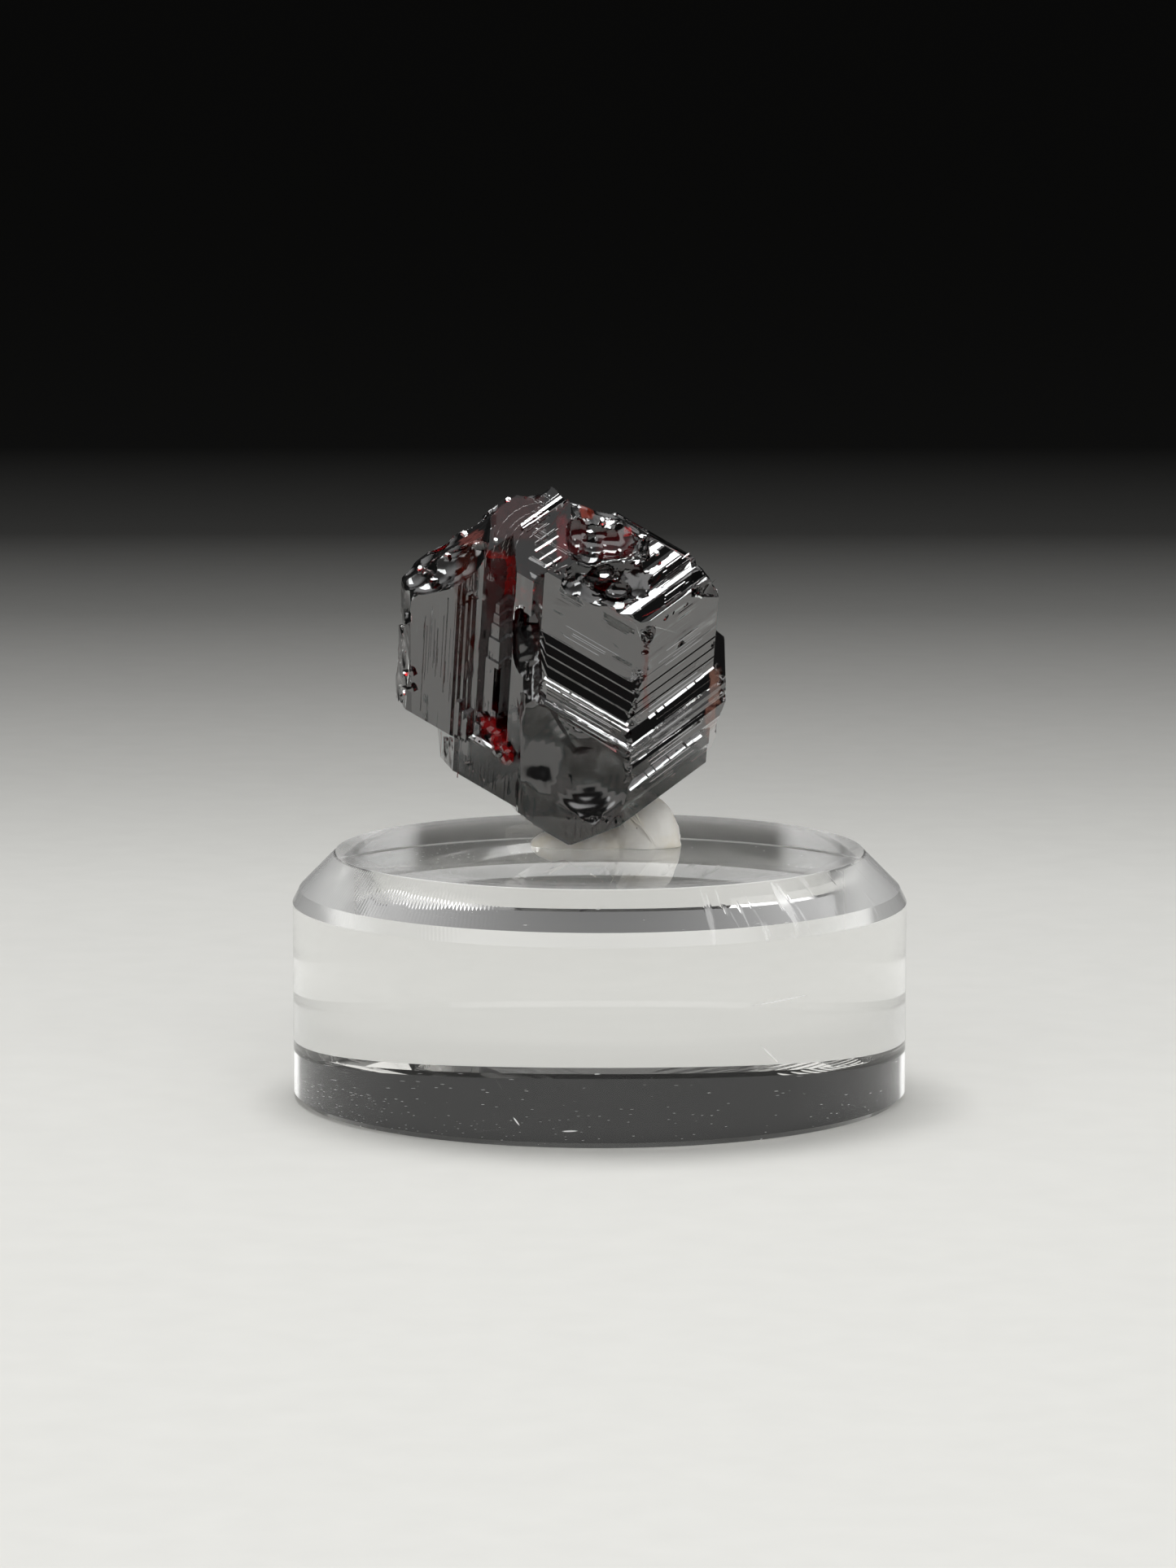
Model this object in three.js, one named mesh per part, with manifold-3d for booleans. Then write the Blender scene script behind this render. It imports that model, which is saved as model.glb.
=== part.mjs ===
import * as THREE from "three";
import { ConvexGeometry } from "three/addons/geometries/ConvexGeometry.js";
import { mergeVertices } from "three/addons/utils/BufferGeometryUtils.js";
import Module from "manifold-3d";

const wasm = await Module();
wasm.setup();
const degrees = THREE.MathUtils.degToRad;

// Round acrylic base, mm.
const BASE_DIAMETER = 31.75;
const BASE_HEIGHT = 12.7;
const BASE_TOP_RADIUS = 13.6;
const BASE_BEVEL_DROP = 2.1;
const BASE_EDGE_ROUND = 0.35;
const BASE_FOOT_BEVEL = 0.35;
const BASE_SIDES = 96;
const BASE_ROUND_STEPS = 3;

// Lobes of soft mineral tack pressed between base and crystal: centre on the base top, half sizes.
const TACK_LOBES = [
  { at: [2.2, 1.9], size: [2.05, 1.9, 2.75] },
  { at: [-0.8, 1.6], size: [2.6, 1.7, 1.2] },
];
const TACK_GAP = 0.3;

// Crystal frame: x right, y up, z to the front, about the crystal's heart, leaning back a little.
const HEART = new THREE.Vector3(-1.96, 0.5, 21.74);
const LEAN_BACK = degrees(6.79);
const LATTICE_TURN = new THREE.Euler(degrees(64.76), degrees(5.75), degrees(36.57), "XYZ");

// Growth faces by lattice index: the twelve of the dodecahedron, then those of the trapezohedron.
const FACE_INDEX = {
  top: [1, 1, 0],
  right: [1, 0, 1],
  left: [0, 1, 1],
  west: [-1, 1, 0],
  east: [1, -1, 0],
  upperRight: [1, 0, -1],
  upperLeft: [0, 1, -1],
  lowerLeft: [-1, 0, 1],
  lowerRight: [0, -1, 1],
  backLow: [-1, -1, 0],
  backLeft: [-1, 0, -1],
  backRight: [0, -1, -1],
  topRight: [2, 1, 1],
  topLeft: [1, 2, 1],
  nose: [1, 1, 2],
  leftWest: [-1, 2, 1],
  rightLow: [1, -1, 2],
  topBackLeft: [1, 2, -1],
};

// Each later block sits a hair lower, so that no two blocks share a plane, mm.
const GROWTH_STEP = 0.004;

// Reach of each dodecahedron face from the heart where a block does not say otherwise, mm.
const CORE = {
  top: 7.4,
  right: 5.6,
  left: 1.6,
  west: 7.6,
  east: 7.2,
  upperRight: 8.6,
  upperLeft: 8.8,
  lowerLeft: 5.4,
  lowerRight: 7.4,
  backLow: 6.6,
  backLeft: 6.6,
  backRight: 6.8,
};

// Upper right block; ridges run up its top beside the right-hand face.
const BROW = {
  top: 8.15,
  right: 6.49,
  left: 3.6,
  west: 2.86,
  leftWest: 3.14,
  upperLeft: 6.26,
  nose: 5.59,
  lowerLeft: 6,
};
const BROW_RIDGES = [
  { ...BROW, top: 8.46, topBackLeft: 5.78 },
  { ...BROW, top: 8.42, topBackLeft: 6.34, topRight: 8.3 },
  { ...BROW, top: 8.38, topBackLeft: 6.83, topRight: 7.74 },
  { ...BROW, top: 8.34, topBackLeft: 7.28, topRight: 7.24 },
];

// Ledges that step out one below another along the front ridge, and the narrower foot.
const SHOULDER = { top: 7, west: 2.6, upperLeft: 5, upperRight: 6, rightLow: 7.35, lowerLeft: 5.8 };
const BULGE = { ...SHOULDER, east: 7.9 };
const LEDGES = [
  { ...SHOULDER, left: 3.81, right: 6.52, topLeft: 5.18, topRight: 7.01, leftWest: 3.14 },
  { ...SHOULDER, left: 4.02, right: 6.56, topLeft: 5.14, topRight: 6.75, leftWest: 3.24 },
  { ...SHOULDER, left: 4.23, right: 6.6, topLeft: 5.1, topRight: 6.52, leftWest: 3.36 },
  { ...SHOULDER, left: 4.45, right: 6.64, topLeft: 5.05, topRight: 6.3, leftWest: 3.48 },
  { ...SHOULDER, left: 4.5, right: 6.66, top: 4.16, leftWest: 3.52 },
  { ...BULGE, left: 4.5, right: 6.98, topLeft: 4.9, topRight: 5.98, leftWest: 3.52 },
  { ...BULGE, left: 4.75, right: 7.2, top: 3.34, leftWest: 3.75 },
  { ...BULGE, left: 4.9, right: 7.3, top: 3.1, topLeft: 4.64, topRight: 6.01, leftWest: 4.0 },
  { ...BULGE, left: 5.0, right: 7.45, top: 2.9, topLeft: 4.6, topRight: 5.89, leftWest: 4.2 },
];
const FOOT = [
  { left: 4.75, right: 7.1, top: 2.5, west: 1.9, lowerLeft: 7.4, lowerRight: 7.3, rightLow: 7.8 },
  { left: 4.6, right: 6.85, top: 2.5, west: 2.2, lowerLeft: 7.35, lowerRight: 7.4 },
  { left: 4.4, right: 6.3, top: 1.5, west: 2.6, lowerLeft: 7.3, lowerRight: 7.3 },
];

// Left block stepping down to the right, and the plate on the far side of the recess.
const LEFT = { top: 7.58, west: 8.25, lowerLeft: 5.5 };
const LEFT_STEPS = [
  { ...LEFT, left: 4.65, right: -1.36 },
  { ...LEFT, left: 4.45, right: -1.29 },
  { ...LEFT, left: 4.25, right: -1.18 },
  { ...LEFT, left: 4.05, right: -1.11 },
  { ...LEFT, left: 3.82, right: -0.87, lowerLeft: 4.8 },
];
const PLATE = { left: 3.82, top: 7.58, right: 1.45, west: 3.24, upperLeft: 8.4, lowerLeft: 0 };

// Wedge of the top face that rises behind the recess, roofing it over.
const WEDGE = { top: 7.58, left: 3.82, upperLeft: 9.9, backLeft: 2.6 };
const CROWN = [
  { ...WEDGE, right: LEFT_STEPS.at(-1).right },
  { ...WEDGE, right: PLATE.right, west: PLATE.west },
  { ...WEDGE, right: 4, west: 2.8, left: 3.5, lowerLeft: 0 },
  { ...WEDGE, right: PLATE.right, backLow: -7.42, lowerLeft: 0 },
  { ...WEDGE, right: 4, west: 2.8, left: 3.5, lowerLeft: 0, top: 7.72, topBackLeft: 9.42, topRight: 3.96 },
];

// Lower left flats, with stairs climbing to the left at the foot of the recess.
const LOW_LEFT = [
  { left: 4.0, top: -0.98, west: 5.75, lowerLeft: 7.2, right: 4.0 },
  { left: 3.85, top: -0.4, west: 6, lowerLeft: 5.5, right: -0.6 },
  { left: 4.3, top: 0.21, west: 6, lowerLeft: 5.4, right: -0.87 },
  { left: 4.5, top: 0.8, west: 6.5, lowerLeft: 5.4, right: -1.1 },
];

// Small stepped crystal in the recess.
const NEST = { lowerLeft: 4.4, west: 4.6 };
const NEST_STEPS = [
  { ...NEST, left: 3.05, right: -0.65, top: 4.79 },
  { ...NEST, left: 3.14, right: -0.55, top: 4.4 },
  { ...NEST, left: 3.23, right: -0.45, top: 4.0 },
  { ...NEST, left: 3.34, right: -0.3, top: 3.4 },
  { ...NEST, left: 3.46, right: -0.2, top: 2.5 },
];

// Growth steps on the far side.
const BACK_STEPS = [
  { backLow: 7.1, backLeft: 5.6, backRight: 5.9 },
  { backLow: 5.7, backLeft: 7.1, backRight: 6.1 },
];

// Slot between the two flat strips at the foot of the recess.
const SLOT = { left: 5, backRight: -2.4, west: 3.85, east: -3.5, top: 2.1, lowerLeft: 3.22 };

// Shell-shaped breaks and etched hollows, as ellipsoids: centre and half sizes in the crystal frame.
const BREAKS = {
  upperLeftCorner: { at: [-9.6, 9.2, 7.0], size: [6.4, 6.4, 6.4] },
  crest: { at: [-2.3, 12.3, 0], size: [3.25, 3.25, 14] },
  crestRight: { at: [2.0, 12.3, 0], size: [4.05, 4.05, 14] },
  upperRightCorner: { at: [10.2, 7.3, 4], size: [3.6, 3.6, 12] },
  upperBowl: { at: [2.2, 7.8, 6.5], size: [2.8, 2.3, 2.2] },
  narrowBowl: { at: [0.75, 7.6, 5.7], size: [0.75, 1.5, 1.3] },
  lowerBowl: { at: [2.75, 5.1, 7.6], size: [2.9, 1.7, 2.0] },
  brightPatch: { at: [3.6, 4.2, 7.5], size: [1.1, 0.5, 0.95] },
  ridgeChip: { at: [4.49, 1.89, 6.9], size: [0.45, 0.6, 0.45] },
  ridgeNick: { at: [4.1, 1.1, 6.75], size: [0.3, 0.35, 0.35] },
  meltedLeft: { at: [-1.64, -5.0, 4.79], size: [2.2, 3.6, 2.7] },
  meltedLow: { at: [0.2, -7.3, 6.29], size: [4.2, 4.0, 4.0] },
  meltedRight: { at: [1.5, -5.0, 6.6], size: [3.0, 2.3, 2.5] },
  groove: { at: [-1.75, 1.0, 4.55], size: [0.8, 4.6, 1.0] },
  bulgeTop: { at: [8.9, 2.2, 3.0], size: [0.7, 0.7, 1.4] },
  bulgeSide: { at: [9.4, -3.2, 1.5], size: [1.5, 2.6, 6] },
  tip: { at: [-1.6, -10.4, 1.5], size: [1.7, 1.7, 5] },
};
const BREAK_DETAIL = 6;
const BREAK_WOBBLE = 0.06;
const BREAK_WAVES = [new THREE.Vector3(4, 3, 0), new THREE.Vector3(0, -2, 5)];

// How near two corners, or a corner and a face, count as one, mm.
const SAME_CORNER = 1e-4;
const ON_FACE = 1e-6;
const WELD = 1e-5;

const NORMAL = Object.fromEntries(
  Object.entries(FACE_INDEX).map(([name, index]) => [
    name,
    new THREE.Vector3(...index).normalize().applyEuler(LATTICE_TURN),
  ]),
);

function solid(geometry) {
  const bare = geometry.clone();
  bare.deleteAttribute("normal");
  bare.deleteAttribute("uv");
  const welded = mergeVertices(bare, WELD);
  return new wasm.Manifold(
    new wasm.Mesh({
      numProp: 3,
      vertProperties: new Float32Array(welded.attributes.position.array),
      triVerts: new Uint32Array(welded.index.array),
    }),
  );
}

function geometryOf(body) {
  const { vertProperties, triVerts } = body.getMesh();
  return new THREE.BufferGeometry()
    .setAttribute("position", new THREE.BufferAttribute(vertProperties, 3))
    .setIndex(new THREE.BufferAttribute(triVerts, 1));
}

const joined = (bodies) => bodies.reduce((a, b) => a.add(b));
const cut = (body, tools) => tools.reduce((a, b) => a.subtract(b), body);

// The corner where three faces meet, or null for faces that share a direction.
function meeting(p, q, r) {
  const across = new THREE.Vector3().crossVectors(q.normal, r.normal);
  const volume = p.normal.dot(across);
  if (Math.abs(volume) < ON_FACE) return null;
  return across
    .multiplyScalar(p.reach)
    .addScaledVector(new THREE.Vector3().crossVectors(r.normal, p.normal), q.reach)
    .addScaledVector(new THREE.Vector3().crossVectors(p.normal, q.normal), r.reach)
    .divideScalar(volume);
}

// A convex block of crystal bounded by growth faces at the reaches given, each let out by a gap.
function block(reaches, gap = 0) {
  const faces = Object.entries({ ...CORE, ...reaches }).map(([name, reach]) => ({
    normal: NORMAL[name],
    reach: reach + gap,
  }));
  const corners = [];
  faces.forEach((p, i) =>
    faces.slice(i + 1).forEach((q, j) =>
      faces.slice(i + j + 2).forEach((r) => {
        const corner = meeting(p, q, r);
        if (!corner || faces.some((face) => face.normal.dot(corner) > face.reach + ON_FACE)) return;
        if (corners.every((known) => known.distanceTo(corner) > SAME_CORNER)) corners.push(corner);
      }),
    ),
  );
  return new ConvexGeometry(corners);
}

// An uneven ellipsoid, the tool that leaves one shell-shaped break.
function hollow({ at, size }) {
  const geometry = new THREE.IcosahedronGeometry(1, BREAK_DETAIL);
  const points = geometry.attributes.position;
  for (let i = 0; i < points.count; i++) {
    const point = new THREE.Vector3().fromBufferAttribute(points, i);
    const [across, along] = BREAK_WAVES.map((wave) => point.dot(wave));
    point.multiplyScalar(1 + BREAK_WOBBLE * Math.sin(across) * Math.cos(along));
    points.setXYZ(i, ...point);
  }
  geometry.scale(...size).translate(...at);
  return solid(geometry);
}

// Garnet: blocks grown together, then broken and etched.
const GROWTH = [
  {},
  BROW,
  ...BROW_RIDGES,
  ...LEDGES,
  ...FOOT,
  ...LEFT_STEPS,
  PLATE,
  ...CROWN,
  ...LOW_LEFT,
  ...NEST_STEPS,
  ...BACK_STEPS,
];
const grown = joined(GROWTH.map((reaches, order) => solid(block(reaches, -order * GROWTH_STEP))));
const garnet = cut(grown, [solid(block(SLOT)), ...Object.values(BREAKS).map(hollow)]);

// Tack: two lobes on the base, hollowed where the crystal sits.
function tackLobe({ at, size }) {
  const geometry = new THREE.IcosahedronGeometry(1, BREAK_DETAIL);
  geometry.scale(...size).translate(...at, BASE_HEIGHT);
  return solid(geometry);
}
const seat = new THREE.Matrix4().makeRotationX(Math.PI / 2 - LEAN_BACK).setPosition(HEART);
const seatedFoot = [{}, ...LEDGES, ...FOOT, ...LOW_LEFT].map((reaches) =>
  solid(block(reaches, TACK_GAP).applyMatrix4(seat)),
);
const underBase = new THREE.BoxGeometry(BASE_DIAMETER, BASE_DIAMETER, BASE_HEIGHT);
underBase.translate(0, 0, BASE_HEIGHT / 2);
const tack = cut(joined(TACK_LOBES.map(tackLobe)), [solid(underBase), ...seatedFoot]);

// Base: one turned profile of foot bevel, wall, rounded edge, wide top bevel and flat top.
const baseRadius = BASE_DIAMETER / 2;
const bevelFoot = BASE_HEIGHT - BASE_BEVEL_DROP;
const baseProfile = new THREE.Path()
  .moveTo(0, 0)
  .lineTo(baseRadius - BASE_FOOT_BEVEL, 0)
  .lineTo(baseRadius, BASE_FOOT_BEVEL)
  .lineTo(baseRadius, bevelFoot - BASE_EDGE_ROUND)
  .quadraticCurveTo(baseRadius, bevelFoot, baseRadius - BASE_EDGE_ROUND, bevelFoot + BASE_EDGE_ROUND)
  .lineTo(BASE_TOP_RADIUS, BASE_HEIGHT)
  .lineTo(0, BASE_HEIGHT);
const baseOutline = baseProfile.getPoints(BASE_ROUND_STEPS);
const base = new THREE.LatheGeometry(baseOutline, BASE_SIDES).rotateX(Math.PI / 2);

function part(name, body, look) {
  const mesh = new THREE.Mesh(geometryOf(body), new THREE.MeshStandardMaterial(look));
  mesh.name = name;
  return mesh;
}

const crystal = new THREE.Group();
crystal.position.copy(HEART);
crystal.rotation.x = Math.PI / 2 - LEAN_BACK;
crystal.add(part("garnet_crystal", garnet, { color: 0x2a0608, roughness: 0.08 }));

const specimen = new THREE.Group();
specimen.add(crystal);
specimen.add(part("mineral_tack", tack, { color: 0xe6e0d4, roughness: 0.8 }));
specimen.add(part("acrylic_base", solid(base), { color: 0xf2f4f4, roughness: 0.05 }));
export default specimen;
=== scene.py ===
# %% [markdown]
# # A garnet crystal on its display base
# The part is a near-black garnet that a lump of putty holds on a clear round base. Its solids come from
# CAD and are loaded here as a fixed frame. They could be given a material and left at that, but then the
# fine growth lines and the glassy breaks would be missing. So each solid is replaced by a finished piece
# of the same size in the same place. Sizes are millimetres times MM, because Blender works in metres.

# %% Load the frame
import bmesh
import bpy
import itertools
import math
import random
from mathutils import Euler, Matrix, Vector, noise
from mathutils.bvhtree import BVHTree
from types import SimpleNamespace


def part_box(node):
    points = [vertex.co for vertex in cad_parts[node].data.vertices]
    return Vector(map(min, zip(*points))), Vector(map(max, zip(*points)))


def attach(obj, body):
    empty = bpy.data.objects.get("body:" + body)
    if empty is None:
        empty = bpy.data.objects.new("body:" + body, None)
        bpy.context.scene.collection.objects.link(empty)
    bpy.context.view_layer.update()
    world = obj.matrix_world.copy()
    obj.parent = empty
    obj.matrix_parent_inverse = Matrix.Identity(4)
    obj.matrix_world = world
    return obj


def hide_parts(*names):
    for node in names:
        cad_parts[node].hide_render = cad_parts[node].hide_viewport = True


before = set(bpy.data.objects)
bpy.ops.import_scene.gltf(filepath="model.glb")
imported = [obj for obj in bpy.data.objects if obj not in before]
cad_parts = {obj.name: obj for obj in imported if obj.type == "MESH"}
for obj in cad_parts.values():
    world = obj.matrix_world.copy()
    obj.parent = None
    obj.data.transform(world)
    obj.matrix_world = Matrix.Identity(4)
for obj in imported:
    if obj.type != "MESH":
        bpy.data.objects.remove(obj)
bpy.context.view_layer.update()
MM = 0.001
scene = bpy.context.scene


# %% [markdown]
# ## Camera
# The photograph was taken with a long lens, a third of a metre away and looking down a little. A wide lens
# close by could show the stone as large, but it would spread the crystal's edges like a fan. A long lens
# keeps them nearly parallel, so the camera here stands as far away and has the same lens.

# %% Camera
IMAGE_WIDTH, IMAGE_HEIGHT = 1445, 1927
FOCAL_PIXELS = 8106.5
SENSOR = 36.0
CAMERA_AT = Vector((-0.596, -337.61, 61.985)) * MM
LOOK_DOWN = 0.1350

camera_data = bpy.data.cameras.new("camera")
camera_data.sensor_width = SENSOR
camera_data.lens = FOCAL_PIXELS / max(IMAGE_WIDTH, IMAGE_HEIGHT) * SENSOR
camera = bpy.data.objects.new("camera", camera_data)
camera.location = CAMERA_AT
camera.rotation_euler = (math.pi / 2 - LOOK_DOWN, 0, 0)
scene.collection.objects.link(camera)
scene.camera = camera
print("lens", round(camera_data.lens, 1), "mm")


# %% [markdown]
# ## Helpers for materials
# A procedural material is a tree of nodes. Each node could be added, set and linked on lines of its own,
# but then one material would fill pages. These helpers add a node, set its sockets and link it in a single
# call, so that each material below reads like a short recipe.

# %% Node helpers
def new_material(name):
    """A material with nodes: itself, its tree, its shader and its output."""
    material = bpy.data.materials.new(name)
    material.use_nodes = True
    tree = material.node_tree
    return material, tree, tree.nodes["Principled BSDF"], tree.nodes["Material Output"]


def put(tree, socket, value):
    """Set a socket to a number or colour, or link another socket into it."""
    if isinstance(value, bpy.types.NodeSocket):
        tree.links.new(value, socket)
    else:
        socket.default_value = value


def dress(tree, node, **sockets):
    """Fill a node's inputs, each named with _ for a space, or by its place as i0, i1 and so on."""
    for key, value in sockets.items():
        name = int(key[1:]) if key[1:].isdigit() else key.replace("_", " ")
        put(tree, node.inputs[name], value)


def add(tree, kind, settings=None, **sockets):
    """One new node with its settings and its inputs."""
    node = tree.nodes.new("ShaderNode" + kind)
    for key, value in (settings or {}).items():
        setattr(node, key, value)
    dress(tree, node, **sockets)
    return node


print("node helpers", [helper.__name__ for helper in (new_material, put, dress, add)])


# %% Pattern helpers
def math_node(tree, operation, a, b=0.0, clamp=False):
    return add(tree, "Math", {"operation": operation, "use_clamp": clamp}, i0=a, i1=b).outputs[0]


def both(tree, *masks):
    """Where all the masks hold: their product."""
    product = masks[0]
    for mask in masks[1:]:
        product = math_node(tree, "MULTIPLY", product, mask)
    return product


def either(tree, *masks):
    """Where any of the masks holds: the largest of them."""
    most = masks[0]
    for mask in masks[1:]:
        most = math_node(tree, "MAXIMUM", most, mask)
    return most


def ramp(tree, value, low, high, to_low=0.0, to_high=1.0):
    """Smoothly map low..high to to_low..to_high."""
    settings = {"interpolation_type": "SMOOTHSTEP"}
    node = add(tree, "MapRange", settings, Value=value, i1=low, i2=high, i3=to_low, i4=to_high)
    return node.outputs[0]


def mix_colour(tree, share, first, second, blend="MIX"):
    settings = {"data_type": "RGBA", "blend_type": blend}
    return add(tree, "Mix", settings, i0=share, i6=first, i7=second).outputs[2]


def clouds(tree, point, scale, detail):
    """Soft noise from 0 to 1 with this many patches per millimetre and this many finer layers."""
    return add(tree, "TexNoise", Vector=point, Scale=scale, Detail=detail).outputs["Fac"]


def placed(tree, place=None):
    """Object coordinates in millimetres, in the part's frame or in another one given by its matrix."""
    inverse = (place or Matrix.Identity(4)).inverted()
    return add(
        tree,
        "Mapping",
        Vector=add(tree, "TexCoord").outputs["Object"],
        Location=inverse.translation / MM,
        Rotation=inverse.to_euler(),
        Scale=(1 / MM, 1 / MM, 1 / MM),
    ).outputs[0]


print("pattern helpers", [helper.__name__ for helper in (math_node, both, either, ramp, clouds, placed)])


# %% [markdown]
# ## Floor
# The stone stands on a pale sheet whose colour runs to dark behind it: painted shade for the light
# falling off towards the back. A picture of such a sheet could be used, but a colour ramp along the depth
# gives the same fade with a few stops, and faint noise keeps it from looking painted. The floor lies a hair
# below the base: with air between them the clear base shows its dark underside, as a real one does.

# %% Floor finish
SHEET_START, SHEET_END = -100.0, 400.0
# Tones from front to back; the fade to dark is painted shade for the light falling off behind.
SHEET_FALLOFF_TONES = [
    (0, 0.63),
    (0.22, 0.525),
    (0.34, 0.44),
    (0.45, 0.295),
    (0.55, 0.19),
    (0.66, 0.095),
    (0.8, 0.022),
    (1, 0.004),
]
SHEET_TINT = (1.0, 0.995, 0.955)
SHEET_GRAIN = (0.35, 5.0)
GRAIN_DARK, GRAIN_LIGHT = (0.93, 0.93, 0.93, 1), (1, 1, 1, 1)
SHEET_ROUGHNESS = 0.9


def set_stops(colour_ramp, stops):
    """Give a colour ramp these (position, colour) stops."""
    while len(colour_ramp.elements) < len(stops):
        colour_ramp.elements.new(1.0)
    for element, (position, colour) in zip(colour_ramp.elements, stops):
        element.position = position
        element.color = (*colour, 1)


def floor_material():
    material, tree, shader, _ = new_material("sheet_with_painted_falloff")
    point = placed(tree)
    depth = add(tree, "SeparateXYZ", Vector=point).outputs["Y"]
    along = add(tree, "MapRange", Value=depth, i1=SHEET_START, i2=SHEET_END).outputs[0]
    # Darker towards the back: painted shade for the light falling off.
    tones = add(tree, "ValToRGB", Fac=along)
    stops = [(at, [tone * tint for tint in SHEET_TINT]) for at, tone in SHEET_FALLOFF_TONES]
    set_stops(tones.color_ramp, stops)
    mottle = mix_colour(tree, clouds(tree, point, *SHEET_GRAIN), GRAIN_DARK, GRAIN_LIGHT)
    sheet = mix_colour(tree, 1.0, tones.outputs[0], mottle, "MULTIPLY")
    dress(tree, shader, Base_Color=sheet, Roughness=SHEET_ROUGHNESS, Specular_IOR_Level=0.0)
    return material


falloff_sheet_finish = floor_material()
print("sheet fades over", SHEET_END - SHEET_START, "mm in", len(SHEET_FALLOFF_TONES), "tones")

# %% Floor
FLOOR_DROP = 0.06 * MM
FLOOR_HALF = 6000 * MM


def finish_mesh(bm, name, material, sharp=None):
    """An object made of a bmesh, smooth except across edges that turn by more than this many degrees."""
    mesh = bpy.data.meshes.new(name)
    bm.to_mesh(mesh)
    bm.free()
    # A copy of a solid brings that solid's own normals along, which no longer fit the finished shape.
    old_normals = mesh.attributes.get("custom_normal")
    if old_normals:
        mesh.attributes.remove(old_normals)
    if sharp is not None:
        mesh.polygons.foreach_set("use_smooth", [True] * len(mesh.polygons))
        mesh.set_sharp_from_angle(angle=math.radians(sharp))
    mesh.materials.append(material)
    piece = bpy.data.objects.new(name, mesh)
    scene.collection.objects.link(piece)
    return piece


def make_floor(material):
    bm = bmesh.new()
    bmesh.ops.create_grid(bm, x_segments=1, y_segments=1, size=FLOOR_HALF)
    bmesh.ops.translate(bm, verts=bm.verts, vec=(0, 0, -FLOOR_DROP))
    return finish_mesh(bm, "floor", material)


floor = make_floor(falloff_sheet_finish)
print("floor at", round(-FLOOR_DROP / MM, 3), "mm")


# %% [markdown]
# ## Lights
# A large softbox hangs above the stone, and a small lamp stands in front of it on the right. One of them
# could light the scene, but the stone is a mirror: its upper faces show the softbox as a broad sheen, and
# the lamp puts thin bright lines on faces that overhang and never see the softbox. Area lights are used,
# because a light needs a size to be seen in a mirror, and the plain Standard view keeps their tones as
# they are.

# %% Lights
SOFTBOX_SIZE = 230 * MM
SOFTBOX_AT = (-30 * MM, 110 * MM, 420 * MM)
SOFTBOX_POWER = 1.4
LAMP_SIZE = 70 * MM
LAMP_AT = (104 * MM, -224 * MM, 308 * MM)
LAMP_AIM = Vector((-2, 0, 22)) * MM
LAMP_POWER = 0.12


def square_light(name, size, place, power):
    """A square area light that shines straight down."""
    light_data = bpy.data.lights.new(name, "AREA")
    light_data.shape = "SQUARE"
    light_data.size = size
    light_data.energy = power
    light = bpy.data.objects.new(name, light_data)
    light.location = place
    scene.collection.objects.link(light)
    return light


square_light("softbox", SOFTBOX_SIZE, SOFTBOX_AT, SOFTBOX_POWER)
lamp = square_light("front_lamp", LAMP_SIZE, LAMP_AT, LAMP_POWER)
lamp.rotation_euler = (LAMP_AIM - lamp.location).to_track_quat("-Z", "Y").to_euler()
scene.view_settings.view_transform = "Standard"
print("softbox", round(SOFTBOX_SIZE / MM), "mm wide, lamp", round(LAMP_SIZE / MM))


# %% [markdown]
# ## Studio walls
# What a shiny stone and a clear base show is mostly the room round them: pale walls at both sides, a
# ceiling that is brighter at the back, a bright panel in front and dark everywhere else. The room could be
# built from planes, but a wall would then hide the part from some sides. Here the world's background draws
# it from the direction alone, as soft bands that are easy to shift.

# %% Studio walls
DARK_WALL = 0.037
CEILING_FRONT, CEILING_BACK, CEILING_TURN = 0.3, 1.25, 0.3
CEILING_RISE = (0.46, 0.82)
SIDE_WALLS, SIDE_RISE = 2.7, (0.93, 0.985)
FRONT_PANEL, PANEL_RISE = 1.9, (0.15, 0.45)
PANEL_FOOT, PANEL_TOP = (0.30, 0.42), (0.66, 0.78)

world = bpy.data.worlds.new("studio")
world.use_nodes = True
scene.world = world
tree = world.node_tree
direction = add(tree, "SeparateXYZ", Vector=add(tree, "TexCoord").outputs["Generated"])
aside, away, high = [direction.outputs[axis] for axis in "XYZ"]
ceiling = ramp(tree, away, -CEILING_TURN, CEILING_TURN, CEILING_FRONT, CEILING_BACK)
ceiling = both(tree, ceiling, ramp(tree, high, *CEILING_RISE))
sides = ramp(tree, math_node(tree, "ABSOLUTE", aside), *SIDE_RISE, 0.0, SIDE_WALLS)
panel = both(
    tree,
    ramp(tree, math_node(tree, "MULTIPLY", away, -1.0), *PANEL_RISE),
    ramp(tree, high, *PANEL_FOOT),
    ramp(tree, high, *PANEL_TOP, FRONT_PANEL, 0.0),
)
glow = either(tree, ceiling, sides, panel, DARK_WALL)
dress(tree, tree.nodes["Background"], Color=(1, 1, 1, 1), Strength=glow)
print("studio walls", SIDE_WALLS, "ceiling", CEILING_BACK, "panel", FRONT_PANEL)


# %% [markdown]
# ## The crystal's own directions
# A garnet's flat faces are not free: all of them follow one lattice, turned as the whole stone is turned.
# Each line on them could be laid by eye, but a direction named by its lattice index is truly parallel to
# the stone's edges. The crystal's own frame has its origin in the heart of the stone, x to the viewer's
# right, y up and z to the viewer.

# %% Crystal frame
HEART = Vector((-1.96, 0.5, 21.74)) * MM
LEAN_BACK = math.radians(6.79)
SEAT = Matrix.Translation(HEART) @ Matrix.Rotation(math.pi / 2 - LEAN_BACK, 4, "X")
TO_CRYSTAL = SEAT.inverted()
LATTICE_TURN = (64.76, 5.75, 36.57)
LATTICE = Euler([math.radians(turn) for turn in LATTICE_TURN], "ZYX").to_matrix()


def lattice(*index):
    """A lattice direction in the part's frame, one long."""
    return (SEAT.to_3x3() @ LATTICE @ Vector(index)).normalized()


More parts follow.
